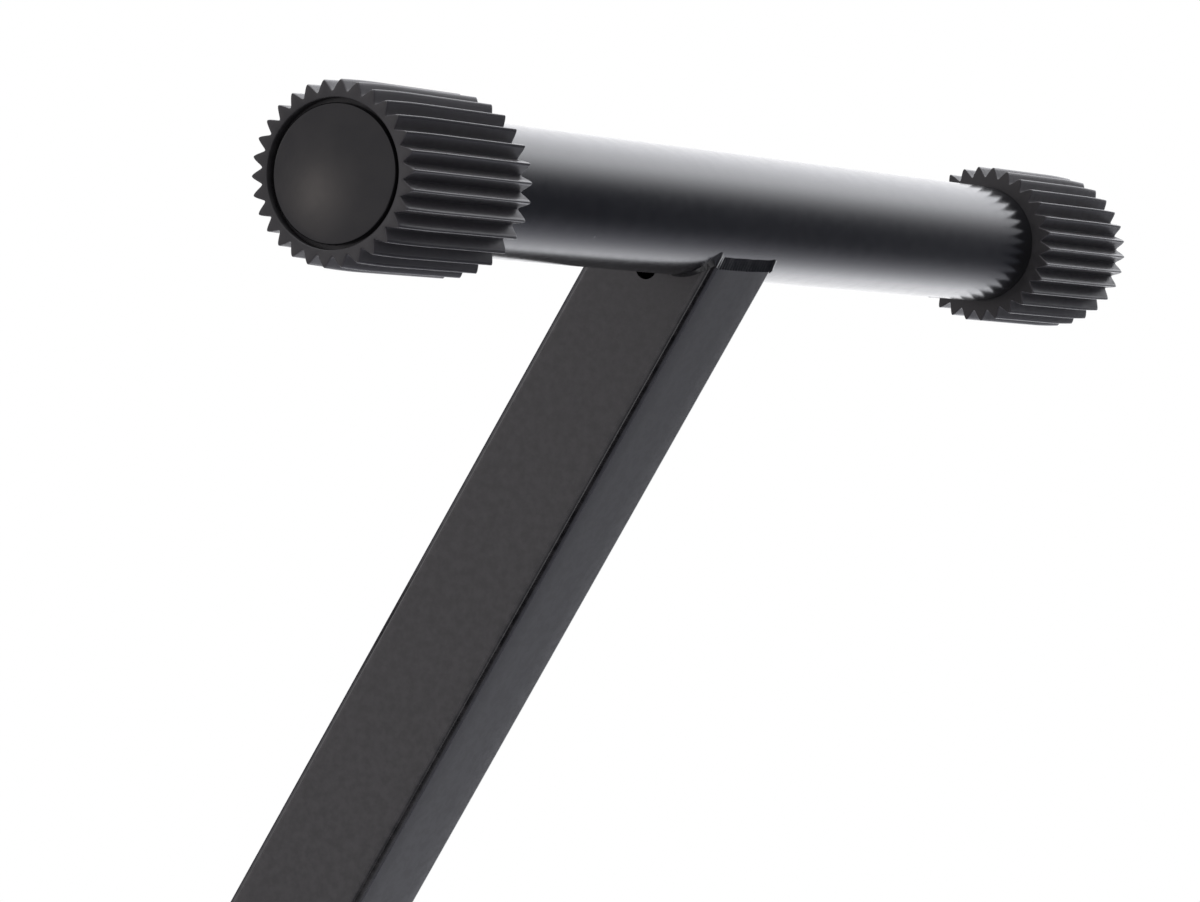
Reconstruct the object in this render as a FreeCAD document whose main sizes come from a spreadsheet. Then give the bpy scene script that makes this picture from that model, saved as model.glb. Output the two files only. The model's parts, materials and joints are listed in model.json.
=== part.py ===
import FreeCAD, Part
import math
import os
import Sketcher

# Folding X-frame stand for a music keyboard, in millimetres.
# +Z is up, the cross bars run along Y and the two legs cross in the XZ plane.
# The origin is on the floor, under the pivot. The front leg is on the -Y side: it rises
# from the left foot bar (-X) to the right arm (+X). The rear leg is the same leg turned round.

SIZES = (
    ("leg_side", 30.7, "outer side of the square leg tube"),
    ("leg_wall", 1.5, "wall of the leg tube"),
    ("leg_corner", 2.5, "outer corner radius of the leg tube"),
    ("leg_angle", 59, "slope of the legs above the floor, degrees"),
    ("pivot_to_arm", 455, "along the leg, from the pivot to the arm's axis"),
    ("pivot_to_foot", 505, "along the leg, from the pivot to the foot bar's axis"),
    ("leg_trim", 5.9, "the leg's end stops this far short of the bar's axis"),
    ("cope_fit", 0.1, "gap between the coped leg end and the bar"),
    ("vent_width", 4.3, "vent notch in the leg's outer face"),
    ("vent_drop", 1.6, "from the underside of the bar to the vent's centre"),
    ("bar_diameter", 30, "outer diameter of arms and foot bars"),
    ("bar_wall", 1.5, "wall of arms and foot bars"),
    ("arm_length", 380, "arm with its grips, end to end"),
    ("arm_shift", 0.75, "how far an arm's middle lies towards its own leg's side"),
    ("foot_length", 450, "foot bar with its grips, end to end"),
    ("weld_radius", 1.9, "radius of the weld bead"),
    ("weld_inset", 0.8, "from the leg's narrow face in to the middle of the bead"),
    ("weld_turn", 46, "how far the bead runs round the bar on the broad faces, degrees"),
    ("grip_length", 50.5, "rubber grip, end to end"),
    ("grip_fit", 0.05, "gap between grip and bar"),
    ("grip_wall", 2.5, "rubber between the bar and the foot of the ribs"),
    ("rib_count", 30, "ribs round a grip"),
    ("rib_end", 2.25, "rib height at the grip's outer end"),
    ("rib_crown", 2.55, "rib height at its highest"),
    ("rib_inner", 2.5, "rib height at the grip's inner end"),
    ("rib_crown_at", 15.5, "from the outer end to where the ribs are highest"),
    ("rib_land", 0.12, "width of the flat between two ribs"),
    ("rib_sink", 0.1, "depth that a rib's foot reaches into the grip"),
    ("groove_width", 1.15, "ring groove between the grip and the bar's end"),
    ("groove_depth", 2.8, "depth of that groove"),
    ("front_grip_turn", 1.7, "turn of the grip at an arm's front end, degrees"),
    ("rear_grip_turn", -3.6, "turn of the grip at an arm's rear end, degrees"),
    ("plug_recess", 0.3, "from the grip's outer end to the plug's face"),
    ("plug_flange", 3, "thickness of the plug's flange"),
    ("plug_inset", 0.15, "how much smaller the flange is than the bar, on the radius"),
    ("plug_rim", 0.8, "bevel of the plug's rim"),
    ("plug_fit", 0.1, "gap between the plug's shank and the bar's bore"),
    ("plug_shank", 14, "length of the plug's shank"),
    ("plug_taper", 1, "bevel that leads the shank into the bar"),
    ("clutch_diameter", 78, "diameter of a toothed disc"),
    ("clutch_plate", 1.2, "thickness of a disc under its teeth"),
    ("tooth_count", 40, "teeth round a disc"),
    ("tooth_height", 1, "height of a tooth at its outer end"),
    ("tooth_start", 20, "radius where the teeth start"),
    ("tooth_margin", 1, "flat rim outside the teeth"),
    ("tooth_land", 0.3, "flat between two teeth at their outer end"),
    ("tooth_gap", 0.3, "gap between the tooth tips when the knob is slack"),
    ("bolt_diameter", 10, "pivot bolt"),
    ("bolt_fit", 0.1, "running gap round the bolt, on the radius"),
    ("bolt_head", 20, "diameter of the bolt's round head"),
    ("bolt_head_height", 6, "height of the head"),
    ("bolt_head_rim", 2, "height of the head's upright rim"),
    ("bolt_head_flat", 9, "diameter of the flat on top of the head"),
    ("bolt_socket", 6, "hexagon socket in the head, across its flats"),
    ("bolt_socket_depth", 3.5, "depth of that socket"),
    ("bolt_spare", 2, "bolt thread past the knob's insert"),
    ("spacer_wall", 3, "wall of the steel spacer in each leg"),
    ("spring_width", 9, "radial width of the cone spring"),
    ("spring_thickness", 0.8, "thickness of the cone spring"),
    ("spring_rest", 0.05, "gap above the relaxed cone spring"),
    ("washer_diameter", 26, "washers under the knob and the bolt's head"),
    ("washer_thickness", 2, "their thickness"),
    ("knob_diameter", 58, "hand knob over its lobes"),
    ("knob_height", 18, "height of the knob's lobes"),
    ("knob_hub", 32, "diameter of the knob's hub"),
    ("knob_hub_height", 7, "height of the hub under the lobes"),
    ("knob_lobes", 6, "lobes of the knob"),
    ("knob_scallop", 11, "radius of the hollows between the lobes"),
    ("knob_scallop_depth", 6, "depth of those hollows"),
    ("knob_bevel", 2, "bevel of the lobes' edges"),
    ("insert_diameter", 18, "brass insert in the knob"),
    ("insert_length", 16, "its length"),
    ("insert_fit", 0.05, "gap round the insert and the cap"),
    ("cap_diameter", 26, "cap in the knob's top"),
    ("cap_depth", 2.5, "how deep the cap sits"),
    ("cap_rise", 1.6, "rise of the cap above the knob"),
    ("cap_flat", 14, "diameter of the flat on top of the cap"),
    ("overrun", 2, "how far every cut runs past what it cuts"),
)

doc = FreeCAD.newDocument("KeyboardStand")
sheet = doc.addObject("Spreadsheet::Sheet", "Size")
for row, (alias, number, meaning) in enumerate(SIZES, start=1):
    sheet.set(f"A{row}", meaning)
    sheet.set(f"B{row}", str(number))
    sheet.setAlias(f"B{row}", alias)
doc.recompute()

X_AXIS = FreeCAD.Vector(1, 0, 0)
Y_AXIS = FreeCAD.Vector(0, 1, 0)
Z_AXIS = FreeCAD.Vector(0, 0, 1)
FULL_TURN = 360
HALF_TURN = FULL_TURN / 2
QUARTER_TURN = FULL_TURN / 4
HEXAGON = 6
SLIGHT_ANGLE = math.radians(1)

# Sizes that several pieces share, as expressions on the sheet.
BAR_RADIUS = "Size.bar_diameter / 2"
BOLT_BORE = "Size.bolt_diameter / 2 + Size.bolt_fit"
LEG_GAP = "2 * (Size.clutch_plate + Size.tooth_height) + Size.tooth_gap"
LEG_MIDDLE = f"({LEG_GAP} + Size.leg_side) / 2"
LEG_OUTSIDE = f"({LEG_GAP}) / 2 + Size.leg_side"
GRIP_ROOT = f"{BAR_RADIUS} + Size.grip_wall"
GRIP_BORE = f"{BAR_RADIUS} + Size.grip_fit"
BAR_SETBACK = "Size.plug_recess + Size.plug_flange"

parts = []


def value(expression):
    """The number that an expression on the sheet gives now."""
    return float(sheet.evalExpression(expression))


def new_body(label):
    """An empty body that becomes one sub-part."""
    body = doc.addObject("PartDesign::Body", label)
    body.Label = label
    parts.append(body)
    return body


def origin(body, role):
    """One of the body's own planes or axes."""
    return next(item for item in body.Origin.OriginFeatures if item.Role == role)


def sketch(body, role, lift="0"):
    """A sketch on one of the body's planes, lifted along the plane's normal."""
    made = body.newObject("Sketcher::SketchObject", "Sketch")
    made.AttachmentSupport = [(origin(body, role), "")]
    made.MapMode = "FlatFace"
    made.setExpression("AttachmentOffset.Base.z", lift)
    return made


def bind(made, constraint, expression):
    """Add a sized constraint and tie its size to the sheet."""
    index = made.addConstraint(constraint)
    made.setExpression(f"Constraints[{index}]", expression)


def pin(made, curve, point, x, y):
    """Hold a point of a curve at a place given by two expressions."""
    bind(made, Sketcher.Constraint("DistanceX", -1, 1, curve, point, value(x)), x)
    bind(made, Sketcher.Constraint("DistanceY", -1, 1, curve, point, value(y)), y)


def circle(made, x, y, radius):
    """A circle with its centre and radius tied to the sheet."""
    centre = FreeCAD.Vector(value(x), value(y), 0)
    curve = made.addGeometry(Part.Circle(centre, Z_AXIS, value(radius)))
    pin(made, curve, 3, x, y)
    bind(made, Sketcher.Constraint("Radius", curve, value(radius)), radius)


def outline(made, corners):
    """A closed run of straight lines through corners given as pairs of expressions."""
    points = [FreeCAD.Vector(value(x), value(y), 0) for x, y in corners]
    count = len(points)
    for step in range(count):
        made.addGeometry(Part.LineSegment(points[step], points[(step + 1) % count]))
    for step, (x, y) in enumerate(corners):
        made.addConstraint(Sketcher.Constraint("Coincident", (step - 1) % count, 2, step, 1))
        pin(made, step, 1, x, y)


def square(made, x, y, side):
    """A square about a centre, all three given as expressions."""
    corners = []
    for across, along in (("-", "-"), ("+", "-"), ("+", "+"), ("-", "+")):
        corners.append((f"{x} {across} ({side}) / 2", f"{y} {along} ({side}) / 2"))
    outline(made, corners)


def pad(body, profile, length, symmetric=False):
    """Material raised from a sketch, on both sides of it if symmetric."""
    made = body.newObject("PartDesign::Pad", "Pad")
    made.Profile = profile
    made.SideType = "Symmetric" if symmetric else "One side"
    made.setExpression("Length", length)
    return made


def pocket(body, profile, depth, symmetric=False, reverse=False):
    """A cut from a sketch, which has to take material away."""
    doc.recompute()
    before = body.Shape.Volume
    made = body.newObject("PartDesign::Pocket", "Pocket")
    made.Profile = profile
    made.SideType = "Symmetric" if symmetric else "One side"
    made.Reversed = reverse
    made.setExpression("Length", depth)
    doc.recompute()
    if not body.Shape.Volume < before:
        raise RuntimeError(f"{body.Label}: a pocket cuts nothing")
    return made


def revolve(body, corners):
    """A turned solid about the body's Z axis, from corners given as radius and height."""
    profile = sketch(body, "XZ_Plane")
    outline(profile, corners)
    made = body.newObject("PartDesign::Revolution", "Revolution")
    made.Profile = profile
    made.ReferenceAxis = (profile, ["V_Axis"])
    made.Angle = FULL_TURN
    return made


def pattern(body, feature, count):
    """Copies of a feature spaced evenly round the body's Z axis."""
    made = body.newObject("PartDesign::PolarPattern", "Pattern")
    made.Originals = [feature]
    made.Axis = (origin(body, "Z_Axis"), [""])
    made.Angle = FULL_TURN
    made.setExpression("Occurrences", count)
    body.Tip = made
    return made


def soften(body, feature, wanted, kind, size):
    """A Fillet or a Chamfer on the edges of a feature that the wanted test picks."""
    doc.recompute()
    edges = [f"Edge{step}" for step, edge in enumerate(feature.Shape.Edges, start=1) if wanted(edge)]
    made = body.newObject(f"PartDesign::{kind}", kind)
    made.Base = (feature, edges)
    made.setExpression("Radius" if kind == "Fillet" else "Size", size)
    doc.recompute()
    return made


def loft(body, sections):
    """A ruled solid through closed sketches."""
    made = body.newObject("PartDesign::AdditiveLoft", "Loft")
    made.Profile = sections[0]
    made.Sections = sections[1:]
    made.Ruled = True
    return made


def upright(edge):
    """Whether an edge is straight and runs along the body's Z axis."""
    if not isinstance(edge.Curve, Part.Line):
        return False
    return abs(edge.Curve.Direction.z) > math.cos(SLIGHT_ANGLE)


def axes(x_axis, z_axis):
    """A rotation from the directions that a body's X and Z axes take."""
    return FreeCAD.Rotation(x_axis, z_axis.cross(x_axis), z_axis, "ZXY")


def place(body, base, rotation):
    """Put a body where it belongs in the stand."""
    body.Placement = FreeCAD.Placement(base, rotation)


# Where the legs and bars lie.
rib_pitch = FULL_TURN / value("Size.rib_count")
foot_rise = value(f"{GRIP_ROOT} + Size.rib_crown") * math.cos(math.radians(rib_pitch / 2))
slope = math.radians(value("Size.leg_angle"))
pivot = FreeCAD.Vector(0, 0, foot_rise + value("Size.pivot_to_foot") * math.sin(slope))
LEAN = FreeCAD.Rotation(Y_AXIS, QUARTER_TURN - value("Size.leg_angle"))
TURN_ROUND = FreeCAD.Rotation(Z_AXIS, HALF_TURN)
LEG_PLACES = {
    "front": FreeCAD.Placement(pivot, LEAN),
    "rear": FreeCAD.Placement(pivot, TURN_ROUND * LEAN),
}


def on_leg(side, across, along):
    """A point given across the bars and along a leg, from the pivot."""
    return LEG_PLACES[side].multVec(FreeCAD.Vector(0, across, along))


def leg_tube(side):
    """Square tube along Z through the pivot, coped at both ends to sit on its bars."""
    body = new_body(f"{side}_leg_tube")
    start = "Size.leg_trim - Size.pivot_to_foot"
    length = "Size.pivot_to_arm + Size.pivot_to_foot - 2 * Size.leg_trim"
    profile = sketch(body, "XY_Plane", start)
    square(profile, "0", f"-({LEG_MIDDLE})", "Size.leg_side")
    soften(body, pad(body, profile, length), upright, "Fillet", "Size.leg_corner")
    bore = sketch(body, "XY_Plane", start)
    square(bore, "0", f"-({LEG_MIDDLE})", "Size.leg_side - 2 * Size.leg_wall")
    hollow = pocket(body, bore, length, reverse=True)
    inside = value("Size.leg_side / 2 - Size.leg_wall")

    def inner_corner(edge):
        return upright(edge) and abs(abs(edge.Vertexes[0].X) - inside) < value("Size.cope_fit")

    soften(body, hollow, inner_corner, "Fillet", "max(Size.leg_corner - Size.leg_wall; Size.cope_fit)")
    through = f"2 * ({LEG_OUTSIDE} + Size.overrun)"
    for height in ("Size.pivot_to_arm", "-Size.pivot_to_foot"):
        cope = sketch(body, "XZ_Plane")
        circle(cope, "0", height, f"{BAR_RADIUS} + Size.cope_fit")
        pocket(body, cope, through, symmetric=True)
    drop = f"({BAR_RADIUS} + Size.vent_drop)"
    for height in (f"Size.pivot_to_arm - {drop}", f"{drop} - Size.pivot_to_foot"):
        vent = sketch(body, "XZ_Plane", LEG_OUTSIDE)
        circle(vent, "0", height, "Size.vent_width / 2")
        pocket(body, vent, "Size.leg_wall + Size.overrun")
    hole = sketch(body, "XZ_Plane")
    circle(hole, "0", "0", BOLT_BORE)
    pocket(body, hole, through, symmetric=True)
    body.Placement = LEG_PLACES[side]


def bar_tube(label, centre, length):
    """Round tube along Y, which stops short of its grips' ends to leave room for the plugs."""
    body = new_body(f"{label}_tube")
    profile = sketch(body, "XZ_Plane")
    circle(profile, "0", "0", BAR_RADIUS)
    circle(profile, "0", "0", f"{BAR_RADIUS} - Size.bar_wall")
    pad(body, profile, f"{length} - 2 * ({BAR_SETBACK})", symmetric=True)
    place(body, centre, FreeCAD.Rotation())


def weld_bead(turn, ring, half):
    """One bead: a run along a narrow wall of the leg, and a bend round the bar at each end of it."""
    run = doc.addObject("Part::Cylinder", "BeadRun")
    run.setExpression("Radius", "Size.weld_radius")
    run.setExpression("Height", "Size.leg_side")
    run.Placement = FreeCAD.Placement(turn.multVec(FreeCAD.Vector(ring, 0, -half)), turn)
    pieces = [run]
    for edge in (-half, half):
        bend = doc.addObject("Part::Torus", "BeadBend")
        bend.setExpression("Radius1", BAR_RADIUS)
        bend.setExpression("Radius2", "Size.weld_radius")
        bend.setExpression("Angle3", "Size.weld_turn")
        bend.Placement = FreeCAD.Placement(turn.multVec(FreeCAD.Vector(0, 0, edge)), turn)
        corner = doc.addObject("Part::Sphere", "BeadCorner")
        corner.setExpression("Radius", "Size.weld_radius")
        corner.Placement = FreeCAD.Placement(turn.multVec(FreeCAD.Vector(ring, 0, edge)), turn)
        pieces += [bend, corner]
    bead = doc.addObject("Part::MultiFuse", "Bead")
    bead.Shapes = pieces
    return bead


def end_welds(centre, over):
    """The two beads at one end of a leg, with the bar and the leg cut away so that they fill the corners.

    They are made about a bar along Y, with the leg below it, and then moved to their end of the leg.
    """
    half = value("Size.leg_side") / 2
    ring = value(BAR_RADIUS)
    out = min(half, ring) - value("Size.weld_inset")
    start = math.degrees(math.acos(out / ring))
    along_bar = FreeCAD.Rotation(X_AXIS, -QUARTER_TURN)
    beads = doc.addObject("Part::Compound", "Beads")
    beads.Links = [
        weld_bead(FreeCAD.Rotation(Z_AXIS, side) * FreeCAD.Rotation(Y_AXIS, start) * along_bar, ring, half)
        for side in (0, HALF_TURN)
    ]
    bar = doc.addObject("Part::Cylinder", "WeldedBar")
    bar.setExpression("Radius", BAR_RADIUS)
    bar.setExpression("Height", "2 * Size.leg_side")
    bar.Placement = FreeCAD.Placement(along_bar.multVec(FreeCAD.Vector(0, 0, -2 * half)), along_bar)
    leg = doc.addObject("Part::Box", "WeldedLeg")
    for name in ("Length", "Width", "Height"):
        leg.setExpression(name, "Size.leg_side")
    leg.Placement.Base = FreeCAD.Vector(-half, -half, -2 * half - value("Size.leg_trim"))
    metal = doc.addObject("Part::MultiFuse", "WeldedMetal")
    metal.Shapes = [bar, leg]
    made = doc.addObject("Part::Cut", "EndWelds")
    made.Base = beads
    made.Tool = metal
    made.Placement = FreeCAD.Placement(centre, FreeCAD.Rotation(Y_AXIS, over))
    return made


def leg_welds(side, ends):
    """The beads of one leg, as one group."""
    made = doc.addObject("Part::Compound", f"{side}_leg_welds")
    made.Label = f"{side}_leg_welds"
    made.Links = ends
    made.Placement = LEG_PLACES[side]
    parts.append(made)


def bar_end(centre, length, end, turn):
    """Placement of what sits on a bar's end: Z runs inward along the bar, X points at a rib."""
    outward = -1 if end == "front" else 1
    base = centre + Y_AXIS * (outward * length / 2)
    angle = math.radians(turn)
    return base, axes(FreeCAD.Vector(math.cos(angle), 0, math.sin(angle)), Y_AXIS * -outward)


def grip(label, base, rotation):
    """Rubber grip: a turned sleeve with triangular ribs that are highest near the outer end."""
    body = new_body(f"{label}_grip")
    groove = f"{BAR_RADIUS} + Size.groove_width"
    corners = [
        (groove, "0"),
        (GRIP_ROOT, "0"),
        (GRIP_ROOT, "Size.grip_length"),
        (GRIP_BORE, "Size.grip_length"),
        (GRIP_BORE, "Size.groove_depth"),
        (groove, "Size.groove_depth"),
    ]
    revolve(body, corners)
    # The ribs rise from the outer end along a parabola to the crown, then fall in a straight line.
    rise_shares = (0, 0.3, 0.65, 1)
    stations = []
    for share in rise_shares:
        height = f"Size.rib_end + (Size.rib_crown - Size.rib_end) * (1 - (1 - {share}) ^ 2)"
        stations.append((f"{share} * Size.rib_crown_at", height))
    stations.append(("Size.grip_length", "Size.rib_inner"))
    foot = f"({GRIP_ROOT} - Size.rib_sink)"
    half_width = f"({foot} * tan({HALF_TURN} / Size.rib_count) - Size.rib_land / 2)"
    sections = []
    for along, height in stations:
        section = sketch(body, "XY_Plane", along)
        outline(section, [(foot, f"-{half_width}"), (f"{GRIP_ROOT} + {height}", "0"), (foot, half_width)])
        sections.append(section)
    pattern(body, loft(body, sections), "Size.rib_count")
    place(body, base, rotation)


def plug(label, base, rotation):
    """End plug: a bevelled flange that covers the bar's end, on a shank in its bore."""
    body = new_body(f"{label}_plug")
    flange = f"{BAR_RADIUS} - Size.plug_inset"
    shank = f"{BAR_RADIUS} - Size.bar_wall - Size.plug_fit"
    tip = f"{BAR_SETBACK} + Size.plug_shank"
    corners = [
        ("0", "Size.plug_recess"),
        (f"{flange} - Size.plug_rim", "Size.plug_recess"),
        (flange, "Size.plug_recess + Size.plug_rim"),
        (flange, BAR_SETBACK),
        (shank, BAR_SETBACK),
        (shank, f"{tip} - Size.plug_taper"),
        (f"{shank} - Size.plug_taper", tip),
        ("0", tip),
    ]
    revolve(body, corners)
    place(body, base, rotation)


def clutch_disc(label, base, rotation):
    """Stamped disc with radial face teeth. All flanks run through one point on the axis, so that
    two such discs mesh when one is turned by half a tooth."""
    body = new_body(label)
    profile = sketch(body, "XY_Plane")
    circle(profile, "0", "0", "Size.clutch_diameter / 2")
    circle(profile, "0", "0", BOLT_BORE)
    pad(body, profile, "Size.clutch_plate")
    outer = "(Size.clutch_diameter / 2 - Size.tooth_margin)"
    half_width = f"({outer} * tan({HALF_TURN} / Size.tooth_count) - Size.tooth_land / 2)"
    sections = []
    for radius in ("Size.tooth_start", outer):
        share = f"{radius} / {outer}"
        section = sketch(body, "YZ_Plane", radius)
        foot = "Size.clutch_plate"
        crest = f"Size.clutch_plate + Size.tooth_height * {share}"
        outline(section, [
            (f"-{half_width} * {share}", foot),
            (f"{half_width} * {share}", foot),
            ("0", crest),
        ])
        sections.append(section)
    pattern(body, loft(body, sections), "Size.tooth_count")
    place(body, base, rotation)


def ring(label, outer, inner, length, base, rotation):
    """A plain ring along Z: a spacer, a washer or an insert."""
    body = new_body(label)
    profile = sketch(body, "XY_Plane")
    circle(profile, "0", "0", outer)
    circle(profile, "0", "0", inner)
    pad(body, profile, length)
    place(body, base, rotation)


def cone_spring(base, rotation):
    """Cone-shaped spring washer between the discs, which parts them when the knob is slack."""
    body = new_body("clutch_spring")
    rise = "(2 * Size.tooth_height + Size.tooth_gap - Size.spring_rest - Size.spring_thickness)"
    outer = f"{BOLT_BORE} + Size.spring_width"
    corners = [
        (BOLT_BORE, rise),
        (outer, "0"),
        (outer, "Size.spring_thickness"),
        (BOLT_BORE, f"{rise} + Size.spring_thickness"),
    ]
    revolve(body, corners)
    place(body, base, rotation)


def pivot_bolt(base, rotation):
    """Bolt along Z from under its head, through both legs, to its end inside the knob."""
    body = new_body("pivot_bolt")
    radius = "Size.bolt_diameter / 2"
    grip_stack = f"2 * ({LEG_OUTSIDE} + Size.washer_thickness)"
    end = f"{grip_stack} + Size.insert_length + Size.bolt_spare"
    corners = [
        ("0", "-Size.bolt_head_height"),
        ("Size.bolt_head_flat / 2", "-Size.bolt_head_height"),
        ("Size.bolt_head / 2", "-Size.bolt_head_rim"),
        ("Size.bolt_head / 2", "0"),
        (radius, "0"),
        (radius, end),
        ("0", end),
    ]
    revolve(body, corners)
    socket = sketch(body, "XY_Plane", "-Size.bolt_head_height")
    reach = f"Size.bolt_socket / 2 / cos({HALF_TURN / HEXAGON})"
    turns = [step * FULL_TURN / HEXAGON for step in range(HEXAGON)]
    outline(socket, [(f"{reach} * cos({turn})", f"{reach} * sin({turn})") for turn in turns])
    pocket(body, socket, "Size.bolt_socket_depth", reverse=True)
    place(body, base, rotation)


def knob_grip(base, rotation):
    """Moulded hand knob along Z, with hollows between its lobes, a seat for the insert and one for the cap."""
    body = new_body("knob_grip")
    top = "(Size.knob_hub_height + Size.knob_height)"
    hub = sketch(body, "XY_Plane")
    circle(hub, "0", "0", "Size.knob_hub / 2")
    pad(body, hub, top)
    lobes = sketch(body, "XY_Plane", "Size.knob_hub_height")
    circle(lobes, "0", "0", "Size.knob_diameter / 2")
    pad(body, lobes, "Size.knob_height")
    hollow = sketch(body, "XY_Plane", top)
    hollow_out = "Size.knob_diameter / 2 - Size.knob_scallop_depth + Size.knob_scallop"
    circle(hollow, hollow_out, "0", "Size.knob_scallop")
    scalloped = pattern(body, pocket(body, hollow, "Size.knob_height"), "Size.knob_lobes")
    levels = (value("Size.knob_hub_height"), value(top))

    def lobe_edge(edge):
        box = edge.BoundBox
        level = any(abs(box.ZMin - z) + abs(box.ZMax - z) < value("Size.insert_fit") for z in levels)
        reach = max(vertex.Point.distanceToLine(FreeCAD.Vector(), Z_AXIS) for vertex in edge.Vertexes)
        return level and reach > value("Size.knob_hub / 2 + Size.insert_fit")

    soften(body, scalloped, lobe_edge, "Chamfer", "min(Size.knob_bevel; Size.knob_height / 4)")
    seat = sketch(body, "XY_Plane")
    circle(seat, "0", "0", "Size.insert_diameter / 2 + Size.insert_fit")
    pocket(body, seat, "Size.insert_length", reverse=True)
    well = sketch(body, "XY_Plane")
    circle(well, "0", "0", "Size.bolt_diameter / 2 + Size.overrun")
    pocket(body, well, top, reverse=True)
    cap_seat = sketch(body, "XY_Plane", top)
    circle(cap_seat, "0", "0", "Size.cap_diameter / 2 + Size.insert_fit")
    pocket(body, cap_seat, "Size.cap_depth")
    place(body, base, rotation)


def knob_cap(base, rotation):
    """Low cap that closes the knob's top."""
    body = new_body("knob_cap")
    radius = "Size.cap_diameter / 2"
    corners = [
        ("0", "0"),
        (radius, "0"),
        (radius, "Size.cap_depth"),
        ("Size.cap_flat / 2", "Size.cap_depth + Size.cap_rise"),
        ("0", "Size.cap_depth + Size.cap_rise"),
    ]
    revolve(body, corners)
    place(body, base, rotation)


# The two legs, each with an arm at its top and a foot bar at its bottom.
BARS = (
    ("right_arm", "front", "arm"),
    ("left_foot", "front", "foot"),
    ("left_arm", "rear", "arm"),
    ("right_foot", "rear", "foot"),
)
GRIP_TURNS = {"front": value("Size.front_grip_turn"), "rear": value("Size.rear_grip_turn")}
leg_ends = [
    end_welds(FreeCAD.Vector(0, -value(LEG_MIDDLE), value("Size.pivot_to_arm")), 0),
    end_welds(FreeCAD.Vector(0, -value(LEG_MIDDLE), -value("Size.pivot_to_foot")), HALF_TURN),
]
for side in LEG_PLACES:
    leg_tube(side)
    leg_welds(side, leg_ends)
for label, side, kind in BARS:
    if kind == "arm":
        centre = on_leg(side, -value("Size.arm_shift"), value("Size.pivot_to_arm"))
    else:
        centre = on_leg(side, 0, -value("Size.pivot_to_foot"))
    bar_tube(label, centre, f"Size.{kind}_length")
    for end in ("front", "rear"):
        # Foot grips stand on two ribs, with the valley between them straight down.
        turn = GRIP_TURNS[end] if kind == "arm" else rib_pitch / 2 - QUARTER_TURN
        base, rotation = bar_end(centre, value(f"Size.{kind}_length"), end, turn)
        grip(f"{label}_{end}", base, rotation)
        plug(f"{label}_{end}", base, rotation)

# The clutch at the crossing, from the front leg's knob to the rear leg's bolt head.
FACING_REAR = axes(X_AXIS, Y_AXIS)
FACING_FRONT = axes(X_AXIS, -Y_AXIS)
half_gap = value(LEG_GAP) / 2
outside = value(LEG_OUTSIDE)
washer = value("Size.washer_thickness")
half_tooth = math.radians(HALF_TURN / value("Size.tooth_count"))
half_tooth_on = axes(FreeCAD.Vector(math.cos(half_tooth), 0, math.sin(half_tooth)), -Y_AXIS)
clutch_disc("front_clutch_disc", pivot - Y_AXIS * half_gap, FACING_REAR)
clutch_disc("rear_clutch_disc", pivot + Y_AXIS * half_gap, half_tooth_on)
cone_spring(pivot - Y_AXIS * (half_gap - value("Size.clutch_plate")), FACING_REAR)
spacer_length = "Size.leg_side - 2 * Size.leg_wall"
inner_wall = outside - value("Size.leg_wall")
ring("front_pivot_spacer", f"{BOLT_BORE} + Size.spacer_wall", BOLT_BORE, spacer_length,
     pivot - Y_AXIS * inner_wall, FACING_REAR)
ring("rear_pivot_spacer", f"{BOLT_BORE} + Size.spacer_wall", BOLT_BORE, spacer_length,
     pivot + Y_AXIS * inner_wall, FACING_FRONT)
ring("front_washer", "Size.washer_diameter / 2", BOLT_BORE, "Size.washer_thickness",
     pivot - Y_AXIS * outside, FACING_FRONT)
ring("rear_washer", "Size.washer_diameter / 2", BOLT_BORE, "Size.washer_thickness",
     pivot + Y_AXIS * outside, FACING_REAR)
pivot_bolt(pivot + Y_AXIS * (outside + washer), FACING_FRONT)
knob_face = pivot - Y_AXIS * (outside + washer)
knob_grip(knob_face, FACING_FRONT)
ring("knob_insert", "Size.insert_diameter / 2", BOLT_BORE, "Size.insert_length", knob_face, FACING_FRONT)
cap_floor = value("Size.knob_hub_height + Size.knob_height - Size.cap_depth")
knob_cap(knob_face - Y_AXIS * cap_floor, FACING_FRONT)

doc.recompute()
for item in doc.Objects:
    if "Invalid" in item.State or "Error" in item.State:
        raise RuntimeError(f"{item.Label} failed: {item.State}")
for part in parts:
    if part.Shape.isNull() or not part.Shape.isValid():
        raise RuntimeError(f"{part.Label} has no valid shape")

os.makedirs("parts", exist_ok=True)
for part in parts:
    part.Shape.exportStep(os.path.join("parts", part.Label + ".step"))
print(f"{len(parts)} parts written, pivot at {pivot.z:.2f} mm, foot bar axis at {foot_rise:.2f} mm")
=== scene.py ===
# %% [markdown]
# # A folding keyboard stand
# Two square steel legs cross at a toothed clutch. Each carries a round bar at its top and at its
# foot, and every bar ends in a ribbed rubber grip with a plug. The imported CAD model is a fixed
# frame in metres: x runs across the stand, y from front to back, z up from the floor.
# Every piece below takes its place from that frame. The camera, the finest sizes, the finishes and
# the light were matched to a picture of the stand.

# %% The frame and its box
import json
import math

import bmesh
import bpy
import numpy as np
from mathutils import Matrix, Vector


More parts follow.
